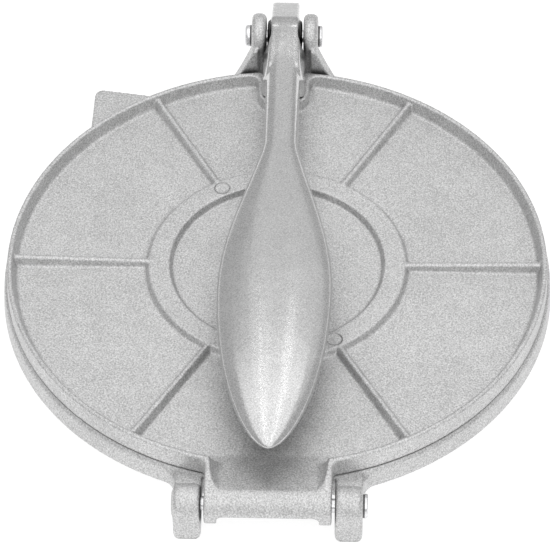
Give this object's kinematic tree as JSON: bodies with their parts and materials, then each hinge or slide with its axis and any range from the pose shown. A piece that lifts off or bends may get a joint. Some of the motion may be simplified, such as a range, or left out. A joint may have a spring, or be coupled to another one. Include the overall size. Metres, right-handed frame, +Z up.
{
  "type": "tortilla press",
  "caption": "Cast hand press for flat dough: round base, hinged ribbed upper plate with raised rim, and a pinned pressing lever with a teardrop grip.",
  "frame": {"origin": "on the table, in the middle of the footprint's length and width", "axes": "+Z up, +Y towards the lever bracket, so the plate hinge is on the -Y side; +X to the right seen from the hinge side"},
  "size_m": [0.214, 0.2614, 0.0392],
  "materials": {
    "cast_aluminium": "fine sand-cast satin",
    "dressed_aluminium": "smoothed satin casting",
    "pin_steel": "bright plated",
    "washer_steel": "dull dark"
  },
  "bodies": {
    "base_body": {"base": "cast_aluminium", "hinge_pin": "pin_steel", "hinge_washer": "washer_steel", "lever_pin": "pin_steel", "lever_pin_cap": "pin_steel", "lever_washer_head": "washer_steel", "lever_washer_cap": "washer_steel"},
    "platen_body": {"upper_platen": "cast_aluminium"},
    "lever_body": {"lever": "dressed_aluminium"}
  },
  "joints": [
    {"name": "lever_hinge", "type": "hinge", "parent": "base_body", "child": "lever_body", "pos_m": [0, 0.1101, 0.029], "axis": [-1, 0, 0], "range_deg": [0, 103]},
    {"name": "plate_hinge", "type": "hinge", "parent": "base_body", "child": "platen_body", "pos_m": [0, -0.1234, 0.0122], "axis": [1, 0, 0], "range_deg": [0, 170]}
  ],
  "couplings": [
    {"joint": "plate_hinge", "follows": "lever_hinge", "ratio": 0.08}
  ]
}
